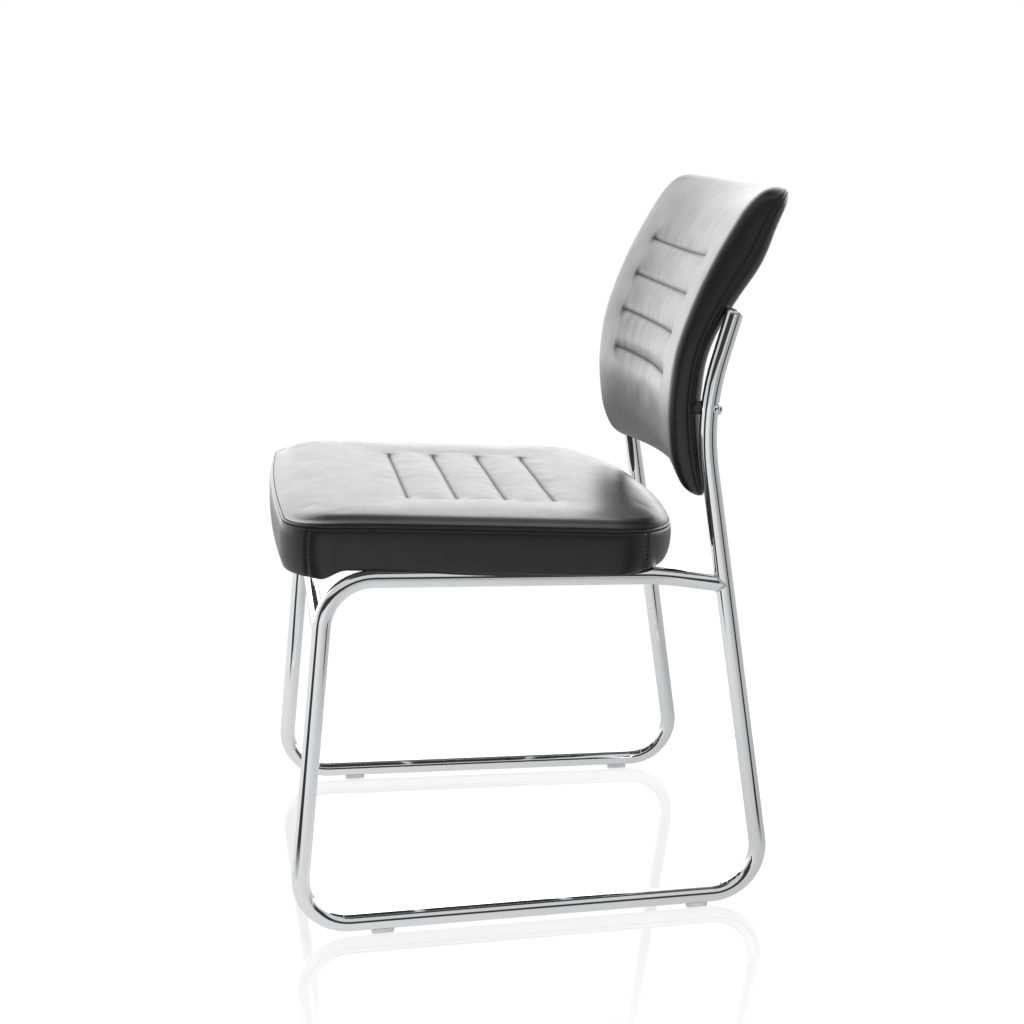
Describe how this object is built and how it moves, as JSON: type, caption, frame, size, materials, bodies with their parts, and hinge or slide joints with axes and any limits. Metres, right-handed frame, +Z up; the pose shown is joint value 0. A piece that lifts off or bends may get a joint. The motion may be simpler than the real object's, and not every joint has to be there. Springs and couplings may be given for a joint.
{
  "type": "visitor chair",
  "caption": "Armless visitor chair: channel-quilted black leatherette seat and curved back pad on a bent chromed-tube sled frame; stands on its floor runs to seat a visitor.",
  "frame": {"origin": "on the floor, under the middle of the chair's overall box", "axes": "+Z up, -Y the way the sitter faces, +X the sitter's left"},
  "size_m": [0.5148, 0.5884, 0.834],
  "materials": {
    "chrome": "polished chrome plate",
    "fastener": "bright zinc plate",
    "bolt_head": "chrome plate",
    "leatherette": "satin black leatherette with a fine grain",
    "foam": "moulded polyurethane foam",
    "plywood": "raw plywood",
    "dust_cloth": "black non-woven cloth",
    "spacer": "black nylon",
    "glide": "black nylon"
  },
  "bodies": {
    "root": {"left_side_frame": "chrome", "right_side_frame": "chrome", "left_end_cap": "chrome", "right_end_cap": "chrome", "front_cross_tube": "chrome", "front_seat_bar": "chrome", "rear_seat_bar": "chrome", "front_left_seat_bolt": "fastener", "front_right_seat_bolt": "fastener", "rear_left_seat_bolt": "fastener", "rear_right_seat_bolt": "fastener", "front_left_tee_nut": "fastener", "front_right_tee_nut": "fastener", "rear_left_tee_nut": "fastener", "rear_right_tee_nut": "fastener", "left_back_insert": "fastener", "right_back_insert": "fastener", "left_back_bolt": "bolt_head", "right_back_bolt": "bolt_head", "seat_cover": "leatherette", "back_cover": "leatherette", "seat_foam": "foam", "back_foam": "foam", "seat_board": "plywood", "back_board": "plywood", "left_back_block": "plywood", "right_back_block": "plywood", "seat_dust_cover": "dust_cloth", "left_back_spacer": "spacer", "right_back_spacer": "spacer", "left_front_glide": "glide", "right_front_glide": "glide", "left_rear_glide": "glide", "right_rear_glide": "glide"}
  },
  "joints": []
}
